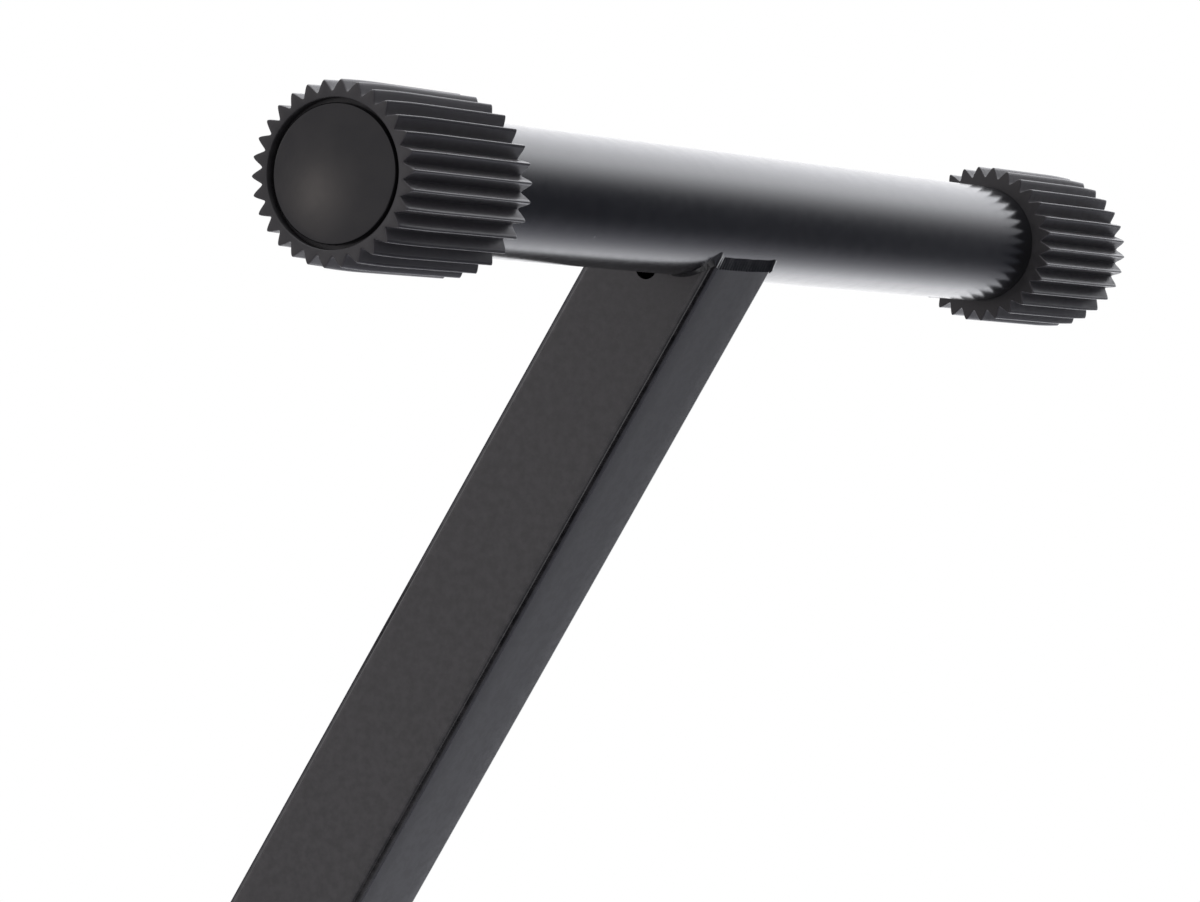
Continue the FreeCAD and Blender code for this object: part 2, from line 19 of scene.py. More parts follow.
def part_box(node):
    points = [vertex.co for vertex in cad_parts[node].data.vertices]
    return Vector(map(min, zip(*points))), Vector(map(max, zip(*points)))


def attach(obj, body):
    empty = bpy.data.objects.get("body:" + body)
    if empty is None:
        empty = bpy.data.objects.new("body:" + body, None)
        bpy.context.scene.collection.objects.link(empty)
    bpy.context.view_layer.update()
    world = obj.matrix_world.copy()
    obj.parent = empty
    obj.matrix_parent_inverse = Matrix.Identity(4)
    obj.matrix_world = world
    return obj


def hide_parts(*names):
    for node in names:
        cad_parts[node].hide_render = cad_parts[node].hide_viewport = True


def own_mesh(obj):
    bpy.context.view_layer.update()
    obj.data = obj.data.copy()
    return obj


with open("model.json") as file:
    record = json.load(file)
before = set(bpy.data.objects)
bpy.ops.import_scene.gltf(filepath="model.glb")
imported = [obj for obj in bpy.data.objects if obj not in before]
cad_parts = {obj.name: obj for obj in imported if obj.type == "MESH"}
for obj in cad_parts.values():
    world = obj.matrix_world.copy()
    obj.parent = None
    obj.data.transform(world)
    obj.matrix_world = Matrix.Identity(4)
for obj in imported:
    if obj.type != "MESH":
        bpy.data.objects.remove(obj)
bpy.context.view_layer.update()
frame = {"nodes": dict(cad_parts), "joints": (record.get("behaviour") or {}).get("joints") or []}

# %% [markdown]
# ## Where the legs and bars lie
# The pieces could be placed with typed numbers, but then a change of the CAD model would leave
# them behind. Instead the bars' axes come from the boxes of their tubes, and the pivot comes from
# the fold joint in the record. Only sizes that a box can't tell are written here, in millimetres.

# %% Places from the frame
MM = 0.001
LEG_SLOPE = math.radians(59)
BAR_RADIUS = 15 * MM
BARS = {
    "right_arm": "front_leg",
    "left_foot": "front_leg",
    "left_arm": "rear_leg",
    "right_foot": "rear_leg",
}


def joint_named(name):
    """The frame's joint of that name."""
    return next(joint for joint in frame["joints"] if joint["name"] == name)


def middle_of(node):
    """Middle of a CAD node's box."""
    low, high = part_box(node)
    return np.array((low + high) / 2)


pivot = np.array(joint_named("legs_fold")["pos_m"])
along_leg = np.array([math.cos(LEG_SLOPE), 0, math.sin(LEG_SLOPE)])
across_leg = np.array([math.sin(LEG_SLOPE), 0, -math.cos(LEG_SLOPE)])
bar_axis = {bar: middle_of(f"{bar}_tube") for bar in BARS}
print("bar axes:", {bar: axis.round(4).tolist() for bar, axis in bar_axis.items()})

# %% [markdown]
# ## The camera
# The picture was taken with a long lens from the right and slightly below the arm, level, and
# leaning a little. A camera could be aimed with a Track To constraint, but a rotation built from
# three turns says exactly what a photographer does: pan, tilt, lean. The lens follows from the
# focal length in pixels of a picture 1200 wide.

# %% Camera
PICTURE_WIDTH = 1200
SENSOR_WIDTH = 36
FOCAL_PIXELS = 5575.7
CAMERA_FROM_GRIP = np.array([601.74, -1002.56, -56.95]) * MM
PAN, TILT, LEAN = (math.radians(turn) for turn in (28.151, 0.010, 1.424))

near_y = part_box("right_arm_front_grip")[0].y
near_end = np.array([bar_axis["right_arm"][0], near_y, bar_axis["right_arm"][2]])
lens = bpy.data.cameras.new("picture_camera")
lens.sensor_fit = "HORIZONTAL"
lens.sensor_width = SENSOR_WIDTH
lens.lens = FOCAL_PIXELS * SENSOR_WIDTH / PICTURE_WIDTH
camera = bpy.data.objects.new("picture_camera", lens)
pan = Matrix.Rotation(PAN, 4, "Z")
tilt = Matrix.Rotation(math.pi / 2 + TILT, 4, "X")
lean = Matrix.Rotation(LEAN, 4, "Z")
aim = pan @ tilt @ lean
camera.matrix_world = Matrix.Translation(Vector(near_end + CAMERA_FROM_GRIP)) @ aim
bpy.context.scene.collection.objects.link(camera)
bpy.context.scene.camera = camera
bpy.context.scene.view_settings.view_transform = "Standard"
print(f"camera {lens.lens:.1f} mm at", [round(x, 3) for x in camera.location])

# %% [markdown]
# ## Wiring nodes
# Materials, groups and the world are all node trees. Each node could take five lines of setting
# and linking. One helper adds a node, sets its properties and gives every socket either a plain
# value or a link, so a material below reads like a recipe.

# %% Node helpers
# The Mix node has sockets of the same name for numbers and colours, so the colours go by place.
MIX_UNDER, MIX_OVER, MIX_COLOUR = 6, 7, 2


def feed(tree, socket, value):
    """Link a socket if the value is another socket, and otherwise set it to the value."""
    if isinstance(value, bpy.types.NodeSocket):
        tree.links.new(value, socket)
    else:
        socket.default_value = value


def wire(tree, kind, settings=None, **sockets):
    """Add a node, set its properties, and give each named socket a value or a link."""
    made = tree.nodes.new(kind)
    for key, value in (settings or {}).items():
        setattr(made, key, value)
    for key, value in sockets.items():
        feed(tree, made.inputs[key.replace("_", " ")], value)
    return made


def reckon(tree, operation, *terms):
    """A Math node over its terms, each a number or a socket."""
    made = wire(tree, "ShaderNodeMath", {"operation": operation})
    for socket, term in zip(made.inputs, terms):
        feed(tree, socket, term)
    return made.outputs[0]


def ease(tree, value, start, end, low=0.0, high=1.0):
    """A smooth step of a value from low at start to high at end."""
    made = wire(tree, "ShaderNodeMapRange", {"interpolation_type": "SMOOTHSTEP"}, Value=value,
                From_Min=start, From_Max=end, To_Min=low, To_Max=high)
    return made.outputs["Result"]


def tint(tree, share, under, over):
    """A colour between two, each a colour or a socket, by a share from 0 to 1."""
    made = wire(tree, "ShaderNodeMix", {"data_type": "RGBA"}, Factor=share)
    for number, colour in ((MIX_UNDER, under), (MIX_OVER, over)):
        given = colour if isinstance(colour, bpy.types.NodeSocket) else (*colour, 1)
        feed(tree, made.inputs[number], given)
    return made.outputs[MIX_COLOUR]


def mix_shaders(tree, share, first, second):
    """A shader between two, by a share from 0 to 1."""
    made = wire(tree, "ShaderNodeMixShader")
    for socket, source in zip(made.inputs, (share, first.outputs[0], second.outputs[0])):
        feed(tree, socket, source)
    return made.outputs[0]


# %% [markdown]
# ## Studio light
# A glossy black tube has almost no colour of its own: what is seen is the room in it. Here that
# is a bright backdrop with a soft edge on the right, a dim room beside it, a pale floor, and soft
# light and small windows on the camera's side. The room could be modelled with cards, but these
# would stand in other views, so the world holds it: rays from the camera and rays that pass through
# a piece see plain white, and all others, glossy ones too, see the room by direction.

# %% Looking round the room
world = bpy.data.worlds.new("studio")
bpy.context.scene.world = world
world.use_nodes = True
sky = world.node_tree
sky.nodes.clear()
towards = wire(sky, "ShaderNodeTexCoord").outputs["Generated"]
parts = wire(sky, "ShaderNodeSeparateXYZ", Vector=towards).outputs


def facing(direction):
    """How far the looked-at direction points along a given one: their dot product."""
    made = wire(sky, "ShaderNodeVectorMath", {"operation": "DOT_PRODUCT"})
    feed(sky, made.inputs[0], towards)
    feed(sky, made.inputs[1], direction)
    return made.outputs["Value"]


def lay_patch(under, direction, full, gone, colour):
    """Lay a round patch over the room: whole within one angle, gone past another, in degrees."""
    whole_at, gone_at = (math.cos(math.radians(angle)) for angle in (full, gone))
    share = ease(sky, facing(Vector(direction).normalized()), gone_at, whole_at)
    return tint(sky, share, under, colour)


# %% World
ROOM_SIDES = (0.068, 0.072, 0.090)
FLOOR_GLOW = (0.51, 0.515, 0.60)
FLOOR_EDGE = (-0.25, -0.6)
# A patch has a direction, the angle that it fills, the angle where it is gone, and a colour.
ROOM_PATCHES = {
    "front fill": ((0.45, -0.70, 0.55), 22, 52, (1.25, 1.24, 1.28)),
    "front glow": ((-0.55, -0.82, 0.1), 35, 75, (1.02, 0.99, 1.03)),
    "front spot": ((-0.551, -0.834, 0.003), 0.5, 5.0, (3.6, 3.3, 3.15)),
    "dark corner": ((0.60, -0.42, -0.69), 17, 38, (0.03, 0.03, 0.035)),
    "right window": ((0.47, -0.69, -0.55), 2, 7, (2.0, 2.0, 2.05)),
    "left window": ((-0.82, -0.53, 0.205), 3, 9, (2.1, 2.05, 2.1)),
}
BACKDROP = (2.08, 2.10, 2.19)
BACKDROP_SLANT = (1.0, 0.0, -0.465)
BACKDROP_RIGHT, BACKDROP_LEFT, BACKDROP_FRONT = (0.46, -0.08), (-0.80, -0.56), (0.15, 0.6)
BACKDROP_HEART = ((-0.474, 0.88, 0.0), 10, 32, (1.72, 1.72, 1.76))

room = tint(sky, ease(sky, parts["Z"], *FLOOR_EDGE), ROOM_SIDES, FLOOR_GLOW)
for light_patch in ROOM_PATCHES.values():
    room = lay_patch(room, *light_patch)
behind = reckon(sky, "MULTIPLY", ease(sky, facing(BACKDROP_SLANT), *BACKDROP_RIGHT),
                ease(sky, parts["Y"], *BACKDROP_FRONT))
behind = reckon(sky, "MULTIPLY", behind, ease(sky, parts["X"], *BACKDROP_LEFT))
room = lay_patch(tint(sky, behind, room, BACKDROP), *BACKDROP_HEART)
room_light = wire(sky, "ShaderNodeBackground", Color=room, Strength=1.0)
plain_white = wire(sky, "ShaderNodeBackground", Color=(1, 1, 1, 1), Strength=1.0)
ray = wire(sky, "ShaderNodeLightPath").outputs
seen = reckon(sky, "MAXIMUM", ray["Is Camera Ray"], ray["Is Transmission Ray"])
wire(sky, "ShaderNodeOutputWorld", Surface=mix_shaders(sky, seen, room_light, plain_white))
print("room patches:", list(ROOM_PATCHES))


# %% Lamps
def soft_box(name, place, look_at, size, watts):
    """A square white area lamp that faces a point. The camera doesn't see it, reflections do."""
    light = bpy.data.lights.new(name, "AREA")
    light.size = size
    light.energy = watts
    lamp = bpy.data.objects.new(name, light)
    lamp.location = place
    lamp.rotation_euler = (Vector(look_at) - Vector(place)).to_track_quat("-Z", "Y").to_euler()
    lamp.visible_camera = False
    bpy.context.scene.collection.objects.link(lamp)


soft_box("overhead_box", place=(0, 0, 2.4), look_at=(0, 0, 0.6), size=1.6, watts=24)

# %% [markdown]
# ## Grain shared by the finishes
# Powder coat flows out of a dry powder, and keeps a fine orange peel with a slow mottle under it.
# Rubber, plastic and metal show the same two scales in other sizes. Each could get noise textures
# of its own. One node group holds both scales, and every finish sets its own sizes. A second group
# scatters specks of dust: a few cells of a cell pattern, drawn by lot, show a dot at their heart.

# %% Group: fine grain
VALUE, VECTOR = "NodeSocketFloat", "NodeSocketVector"


def new_group(name, inputs, outputs):
    """A shader node group with named sockets, what it is given, and what is taken from it."""
    group = bpy.data.node_groups.new(name, "ShaderNodeTree")
    for label, kind, default in inputs:
        socket = group.interface.new_socket(label, in_out="INPUT", socket_type=kind)
        if default is not None:
            socket.default_value = default
    for label in outputs:
        group.interface.new_socket(label, in_out="OUTPUT", socket_type=VALUE)
    start, end = group.nodes.new("NodeGroupInput"), group.nodes.new("NodeGroupOutput")
    return group, start.outputs, end.inputs


grain, given, taken = new_group(
    "fine_grain",
    [("Place", VECTOR, None), ("Peel Scale", VALUE, 2200.0), ("Mottle Scale", VALUE, 420.0)],
    ["Peel", "Mottle"],
)
peel = wire(grain, "ShaderNodeTexNoise", Vector=given["Place"], Scale=given["Peel Scale"],
            Detail=2.0, Roughness=0.55)
mottle = wire(grain, "ShaderNodeTexNoise", Vector=given["Place"], Scale=given["Mottle Scale"],
              Detail=4.0, Roughness=0.6)
feed(grain, taken["Peel"], peel.outputs["Fac"])
feed(grain, taken["Mottle"], ease(grain, mottle.outputs["Fac"], 0.3, 0.7))

# %% Group: dust specks
specks, given, taken = new_group(
    "dust_specks",
    [("Place", VECTOR, None), ("Cells", VALUE, 260.0), ("Speck Size", VALUE, 0.06),
     ("Share", VALUE, 0.06)],
    ["Speck"],
)
cells = wire(specks, "ShaderNodeTexVoronoi", {"feature": "F1"}, Vector=given["Place"],
             Scale=given["Cells"], Randomness=1.0)
lot = wire(specks, "ShaderNodeSeparateColor", Color=cells.outputs["Color"])
near = reckon(specks, "LESS_THAN", cells.outputs["Distance"], given["Speck Size"])
drawn = reckon(specks, "LESS_THAN", lot.outputs["Red"], given["Share"])
feed(specks, taken["Speck"], reckon(specks, "MULTIPLY", near, drawn))
print("groups:", [g.name for g in bpy.data.node_groups])

# %% [markdown]
# ## Finishes
# Each finish is one Principled BSDF. What is the same all over it, such as the index of refraction,
# is set on the shader itself, because the export reads it there. What changes over the surface
# comes from the groups: colour, roughness and a bump far too fine to model. A piece also notes on
# its points where it is, and the finish reads that: the corners of a leg and the crests of a rib
# are smoother, and the ribbed part of a grip is painted lighter than its end faces, a painted fill
# light for its valleys.

# %% Finish helpers
def place_group(tree, group, place, **values):
    """Put a node group into a tree, fed by a place on the surface."""
    settings = {"node_tree": group}
    return wire(tree, "ShaderNodeGroup", settings, Place=place, **values).outputs


def grained_finish(name, dark, light, rough, peel, mottle, bump_depth, **constants):
    """A finish whose colour and roughness drift with the mottle, and whose bump is the peel."""
    material = bpy.data.materials.new(name)
    material.use_nodes = True
    tree = material.node_tree
    tree.nodes.clear()
    shader = wire(tree, "ShaderNodeBsdfPrincipled", None, **constants)
    wire(tree, "ShaderNodeOutputMaterial", Surface=shader.outputs[0])
    place = wire(tree, "ShaderNodeTexCoord").outputs["Object"]
    fine = place_group(tree, grain, place, Peel_Scale=peel, Mottle_Scale=mottle)
    feed(tree, shader.inputs["Base Color"], tint(tree, fine["Mottle"], dark, light))
    feed(tree, shader.inputs["Roughness"], ease(tree, fine["Mottle"], 0.0, 1.0, *rough))
    bump = wire(tree, "ShaderNodeBump", Height=fine["Peel"], Strength=1.0, Distance=bump_depth)
    feed(tree, shader.inputs["Normal"], bump.outputs["Normal"])
    return material, tree, shader, place


def noted(tree, name):
    """A value that a piece keeps on its points."""
    return wire(tree, "ShaderNodeAttribute", {"attribute_name": name}).outputs["Fac"]


def paint_where(tree, shader, share, colour):
    """Lay a colour over the base colour, by a share that changes over the surface."""
    socket = shader.inputs["Base Color"]
    feed(tree, socket, tint(tree, share, socket.links[0].from_socket, colour))


def smooth_where(tree, shader, share, roughness):
    """Bring the roughness to a value, by a share that changes over the surface."""
    socket = shader.inputs["Roughness"]
    mixed = wire(tree, "ShaderNodeMix", {"data_type": "FLOAT"}, Factor=share,
                 A=socket.links[0].from_socket, B=roughness)
    feed(tree, socket, mixed.outputs["Result"])


# %% Powder coat on legs, welds and bars
CORNER_SHARE = "corner_share"
CORNER_ROUGHNESS = 0.14
DUST_GREY = (0.16, 0.16, 0.16)
leg_coat, tree, shader, place = grained_finish(
    "powder_coat_on_legs", (0.0040, 0.0038, 0.0046), (0.0200, 0.0186, 0.0198),
    rough=(0.36, 0.46), peel=1900.0, mottle=420.0, bump_depth=4e-6, IOR=1.5)
smooth_where(tree, shader, noted(tree, CORNER_SHARE), CORNER_ROUGHNESS)
# The welds get the legs' powder coat, darker and glossier: the darker colour is painted shade for
# the crease where the bead meets the bar.
weld_coat_painted_shade, *_ = grained_finish(
    "powder_coat_on_welds_painted_shade", (0.0035, 0.0034, 0.0040), (0.0065, 0.0062, 0.0070),
    rough=(0.13, 0.18), peel=1500.0, mottle=600.0, bump_depth=1e-6, IOR=1.45)
bar_coat, tree, shader, place = grained_finish(
    "powder_coat_on_bars", (0.0020, 0.0022, 0.0036), (0.0034, 0.0036, 0.0050),
    rough=(0.19, 0.22), peel=1500.0, mottle=300.0, bump_depth=5e-7, IOR=1.62)
dust = place_group(tree, specks, place, Cells=130.0, Speck_Size=0.035, Share=0.05)
paint_where(tree, shader, dust["Speck"], DUST_GREY)
print("coats:", leg_coat.name, weld_coat_painted_shade.name, bar_coat.name)

# %% Ribbed rubber
RIB_SHARE = "rib_share"
VALLEY_SHARE = 0.2
# The ribbed part of a grip is painted lighter than its end faces: a painted fill light that lifts
# the shade in the deep valleys between the ribs.
PAINTED_RIB_FILL, PAINTED_FILL_COVER = (0.058, 0.055, 0.059), 0.85
CREST_EDGE, CREST_ROUGHNESS = (0.81, 0.92), 0.24
grip_rubber, tree, shader, place = grained_finish(
    "ribbed_rubber", (0.0145, 0.0138, 0.0150), (0.0210, 0.0199, 0.0211),
    rough=(0.40, 0.48), peel=2600.0, mottle=380.0, bump_depth=3e-6, IOR=1.42)
rib = noted(tree, RIB_SHARE)
# Painted fill light: the ribbed surface takes a lighter grey than the end faces, against the shade
# in its valleys.
paint_where(tree, shader, ease(tree, rib, 0.0, VALLEY_SHARE, 0.0, PAINTED_FILL_COVER), PAINTED_RIB_FILL)
smooth_where(tree, shader, ease(tree, rib, *CREST_EDGE), CREST_ROUGHNESS)
print("rubber:", grip_rubber.name)

# %% Plastics and metals
plug_plastic, *_ = grained_finish(
    "plug_plastic", (0.0045, 0.0043, 0.0052), (0.0075, 0.0070, 0.0076),
    rough=(0.16, 0.20), peel=3200.0, mottle=160.0, bump_depth=2e-6, IOR=1.38)
knob_plastic, *_ = grained_finish(
    "knob_plastic", (0.0105, 0.0105, 0.0110), (0.0150, 0.0150, 0.0155),
    rough=(0.40, 0.50), peel=1700.0, mottle=300.0, bump_depth=1.2e-5, IOR=1.5)
cap_plastic, *_ = grained_finish(
    "knob_cap_plastic", (0.0120, 0.0120, 0.0125), (0.0160, 0.0160, 0.0165),
    rough=(0.26, 0.34), peel=2400.0, mottle=220.0, bump_depth=2e-6, IOR=1.5)
insert_brass, *_ = grained_finish(
    "insert_brass", (0.56, 0.39, 0.15), (0.66, 0.48, 0.21),
    rough=(0.28, 0.42), peel=1500.0, mottle=260.0, bump_depth=3e-6, Metallic=1.0)
clutch_steel, *_ = grained_finish(
    "clutch_steel", (0.34, 0.34, 0.35), (0.46, 0.46, 0.47),
    rough=(0.34, 0.50), peel=1400.0, mottle=320.0, bump_depth=4e-6, Metallic=1.0)
zinc_steel, *_ = grained_finish(
    "zinc_steel", (0.50, 0.51, 0.52), (0.62, 0.62, 0.61),
    rough=(0.26, 0.40), peel=1400.0, mottle=280.0, bump_depth=3e-6, Metallic=1.0)
print("plastics:", plug_plastic.name, knob_plastic.name, cap_plastic.name)
print("metals:", insert_brass.name, clutch_steel.name, zinc_steel.name)

# %% [markdown]
# ## From grids to pieces
# Every new surface is a grid of points, worked out as whole arrays, with quads between
# neighbours. Grids that meet could be stitched by hand. Merging points that coincide does the same
# with less code, and also closes the poles. Edges that meet at a steep angle stay crisp.

# %% Mesh helpers
DOUBLE_GAP = 2e-6


def weave(points, close_rows=False, close_columns=False):
    """Quads between the neighbours of a grid of points, closed on itself where asked."""
    rows, columns = points.shape[:2]
    index = np.arange(rows * columns).reshape(rows, columns)
    if close_rows:
        index = np.concatenate([index, index[:1]], axis=0)
    if close_columns:
        index = np.concatenate([index, index[:, :1]], axis=1)
    corners = (index[:-1, :-1], index[:-1, 1:], index[1:, 1:], index[1:, :-1])
    return points.reshape(-1, 3), np.stack(corners, axis=-1).reshape(-1, 4)


def lay_mesh(name, patches, crisp=40):
    """One closed object from patches of points and quads, smooth but for edges over an angle."""
    starts = np.cumsum([0] + [len(points) for points, _ in patches[:-1]])
    points = np.concatenate([points for points, _ in patches])
    quads = np.concatenate([quads + start for (_, quads), start in zip(patches, starts)])
    mesh = bpy.data.meshes.new(name)
    mesh.from_pydata(points.tolist(), [], quads.tolist())
    work = bmesh.new()
    work.from_mesh(mesh)
    bmesh.ops.remove_doubles(work, verts=work.verts, dist=DOUBLE_GAP)
    bmesh.ops.dissolve_degenerate(work, edges=work.edges, dist=DOUBLE_GAP)
    bmesh.ops.recalc_face_normals(work, faces=work.faces)
    work.to_mesh(mesh)
    work.free()
    mesh.shade_smooth()
    mesh.set_sharp_from_angle(angle=math.radians(crisp))
    piece = bpy.data.objects.new(name, mesh)
    bpy.context.scene.collection.objects.link(piece)
    return piece


def dress(piece, body, slot, finish, *nodes):
    """Give a piece its finish, hang it on the body it rides on, and hide the CAD nodes it stands
    for.
    """
    piece.data.materials.append(finish)
    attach(piece, body)
    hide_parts(*nodes)
    print(f"{piece.name}: {len(piece.data.polygons)} faces, on {body}")


# %% Helpers for points
def points_of(piece):
    """All points of a piece, one to a row."""
    points = np.empty(len(piece.data.vertices) * 3, np.float32)
    piece.data.vertices.foreach_get("co", points)
    return points.reshape(-1, 3)


def note(piece, name, values):
    """Keep a value on every point of a piece, for its finish to read."""
    attribute = piece.data.attributes.new(name, "FLOAT", "POINT")
    attribute.data.foreach_set("value", values.astype(np.float32))


def round_y(axis, radius, angle, y):
    """Points at a radius and an angle round a line along y: x = r cos a, z = r sin a."""
    radius, angle, y = np.broadcast_arrays(radius, angle, y)
    x, z = axis[0] + radius * np.cos(angle), axis[2] + radius * np.sin(angle)
    return np.stack([x, y, z], axis=-1)


def full_turn(steps):
    """Angles of a full turn, with the last one left out because the grid closes."""
    return np.linspace(0, 2 * np.pi, steps, endpoint=False)


# %% [markdown]
# ## Bars
# An arm or a foot bar is a plain steel tube, bent nowhere. Blender's cylinder would do for the
# outside, but the tube also has a bore and softened ends. A profile of radius and place along the
# bar, carried once round the axis, makes the whole wall as one closed surface.

# %% Bars
BORE_RADIUS = 13.5 * MM
TUBE_EDGE = 0.3 * MM
BAR_SIDES = 144


def bar_surface(axis, low, high):
    """A wall carried round the axis: outside, softened end, bore, softened end."""
    inner_low, inner_high = low + TUBE_EDGE, high - TUBE_EDGE
    profile = np.array([
        (BAR_RADIUS, inner_low), (BAR_RADIUS, inner_high),
        (BAR_RADIUS - TUBE_EDGE, high), (BORE_RADIUS + TUBE_EDGE, high),
        (BORE_RADIUS, inner_high), (BORE_RADIUS, inner_low),
        (BORE_RADIUS + TUBE_EDGE, low), (BAR_RADIUS - TUBE_EDGE, low),
    ])
    return round_y(axis, profile[:, :1], full_turn(BAR_SIDES), profile[:, 1:])


for bar, body in BARS.items():
    low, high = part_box(f"{bar}_tube")
    wall = bar_surface(bar_axis[bar], low.y, high.y)
    skin = weave(wall, close_rows=True, close_columns=True)
    piece = lay_mesh(f"{bar}_smooth_tube", [skin], crisp=30)
    dress(piece, body, "black_powder_coat", bar_coat, f"{bar}_tube")

# %% [markdown]
# ## Ribbed grips
# A grip is a rubber sleeve with thirty ribs, like a coarse gear. It is moulded, so crests and
# valleys are rounded a little, and it bulges: the ribs are lowest at the outer end and highest a
# short way in. Thirty wedges could be joined to a sleeve. A single grid is cleaner:
# radius = base + share x rib height, where the share is a softened triangle wave of the angle.

# %% Rib shape
RIB_COUNT = 30
RIB_STEPS = 24
RIB_PITCH = 2 * math.pi / RIB_COUNT
CREST_ROUND, VALLEY_ROUND = 0.18, 0.20
CREST_CROWDING = 1.5
GRIP_LENGTH = 50.5 * MM
RIB_END, RIB_CROWN, RIB_INNER = 2.40 * MM, 2.75 * MM, 2.65 * MM
CROWN_AT = 15.5 * MM


def rib_height(along):
    """Height along the grip: a parabola up to the crown, then a straight fall to the inner end."""
    rise = RIB_END + (RIB_CROWN - RIB_END) * (1 - (1 - along / CROWN_AT) ** 2)
    fall = RIB_CROWN + (RIB_INNER - RIB_CROWN) * (along - CROWN_AT) / (GRIP_LENGTH - CROWN_AT)
    return np.where(along < CROWN_AT, rise, fall)


def soften(share, roundness):
    """A line from 0 to 1 with a round start, which is a hyperbola.

    It is the hypotenuse of share and roundness, less the roundness, scaled to be 1 at 1."""
    return (np.hypot(share, roundness) - roundness) / (math.hypot(1, roundness) - roundness)


def rib_wave():
    """Angles round the grip and the rib's share there: 1 on a crest, 0 in a valley.

    Points crowd towards the crests. One minus a softened line has a round crest, and softening
    that rounds the valley too."""
    step = np.linspace(-1, 1, RIB_STEPS, endpoint=False)
    across = np.sign(step) * np.abs(step) ** CREST_CROWDING
    share = soften(1 - soften(across, CREST_ROUND), VALLEY_ROUND)
    angle = (np.arange(RIB_COUNT)[:, None] + across[None, :] / 2) * RIB_PITCH
    return angle.ravel(), np.tile(share, RIB_COUNT)


print("rib wave:", len(rib_wave()[0]), "points round a grip")

# %% Grip skin
ROOT_RADIUS = 17.5 * MM
GRIP_BORE = 15.02 * MM
GROOVE_RADIUS, GROOVE_DEPTH = 16.05 * MM, 2.8 * MM
GRIP_EDGE = 0.22 * MM
EDGE_BREAK = 0.3 * GRIP_EDGE
END_ROLL, END_DROP = 0.55 * MM, 0.35 * MM
GRIP_ROWS, ROLL_STEPS = 12, 8


def grip_surface(axis, end_y, inward, turn):
    """The closed skin of a grip: bore, inner face, ribbed outside, outer face, groove.

    A row is a base radius, a place along the grip, whether it is ribbed, and how far it is set
    in: radius = base + ribbed x (rib height x share - set in)."""
    angle, share = rib_wave()
    to_crown = np.linspace(GRIP_LENGTH - 2 * GRIP_EDGE, CROWN_AT, GRIP_ROWS)
    to_end = np.linspace(CROWN_AT, END_ROLL, GRIP_ROWS)[1:]
    rows = [(GRIP_BORE, GRIP_LENGTH, 0, 0), (ROOT_RADIUS, GRIP_LENGTH, 1, 2 * GRIP_EDGE),
            (ROOT_RADIUS, GRIP_LENGTH, 1, GRIP_EDGE),
            (ROOT_RADIUS, GRIP_LENGTH - EDGE_BREAK, 1, EDGE_BREAK)]
    rows += [(ROOT_RADIUS, level, 1, 0)
             for level in (GRIP_LENGTH - GRIP_EDGE, *to_crown, *to_end)]
    rows += [(ROOT_RADIUS, END_ROLL * (1 - math.sin(t)), 1, END_DROP * (1 - math.cos(t)))
             for t in np.linspace(0, np.pi / 2, ROLL_STEPS)[1:]]
    rows += [(GROOVE_RADIUS + GRIP_EDGE, 0, 0, 0), (GROOVE_RADIUS, GRIP_EDGE, 0, 0),
             (GROOVE_RADIUS, GROOVE_DEPTH, 0, 0), (GRIP_BORE, GROOVE_DEPTH, 0, 0)]
    base, place, ribbed, inset = np.array(rows).T[..., None]
    radius = base + ribbed * (rib_height(place) * share - inset)
    return round_y(axis, radius, angle + turn, end_y + inward * place)


# %% Grips
GRIP_TURNS = {"front": math.radians(1.7), "rear": math.radians(-3.6)}
FOOT_GRIP_TURN = RIB_PITCH / 2 - math.pi / 2
FACE_GAP = 0.03 * MM


def rib_share(points, axis, end_y):
    """How far up its rib each point is, from the valley's share to 1, and 0 off the ribs."""
    radius = np.hypot(points[:, 0] - axis[0], points[:, 2] - axis[2])
    place = np.abs(points[:, 1] - end_y)
    share = VALLEY_SHARE + (1 - VALLEY_SHARE) * (radius - ROOT_RADIUS) / rib_height(place)
    between_faces = (place > FACE_GAP) & (place < GRIP_LENGTH - FACE_GAP)
    return np.clip(share, VALLEY_SHARE, 1) * (between_faces & (radius > ROOT_RADIUS - FACE_GAP))


def bar_end(bar, end):
    """Where a bar's grip starts, and which way along y is inward."""
    low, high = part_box(f"{bar}_{end}_grip")
    return (low.y, 1) if end == "front" else (high.y, -1)


for bar, body in BARS.items():
    for end in ("front", "rear"):
        end_y, inward = bar_end(bar, end)
        turn = GRIP_TURNS[end] if bar.endswith("arm") else FOOT_GRIP_TURN
        sleeve = grip_surface(bar_axis[bar], end_y, inward, turn)
        skin = weave(sleeve, close_rows=True, close_columns=True)
        piece = lay_mesh(f"{bar}_{end}_ribbed_grip", [skin], crisp=50)
        note(piece, RIB_SHARE, rib_share(points_of(piece), bar_axis[bar], end_y))
        dress(piece, body, "ribbed_rubber", grip_rubber, f"{bar}_{end}_grip")

# %% [markdown]
# ## End plugs
# A plug closes each bar: a disc with a soft rim that lies just inside the grip's end, on a shank
# pressed into the bore. Its face swells by a hair, which is why it catches a faint patch of light.
# A cylinder with a bevel would have a flat face. The plug is a turned part, so a profile carried
# round the bar's axis makes it in one go.

# %% Plugs
PLUG_RADIUS = 15.0 * MM
PLUG_RECESS = 0.65 * MM
PLUG_SWELL = 0.6 * MM
PLUG_RIM = 0.5 * MM
PLUG_SEAT = 3.3 * MM
SHANK_RADIUS, SHANK_END, SHANK_TAPER = 13.4 * MM, 17.3 * MM, 1.0 * MM
DOME_ROWS, PLUG_SIDES = 14, 120


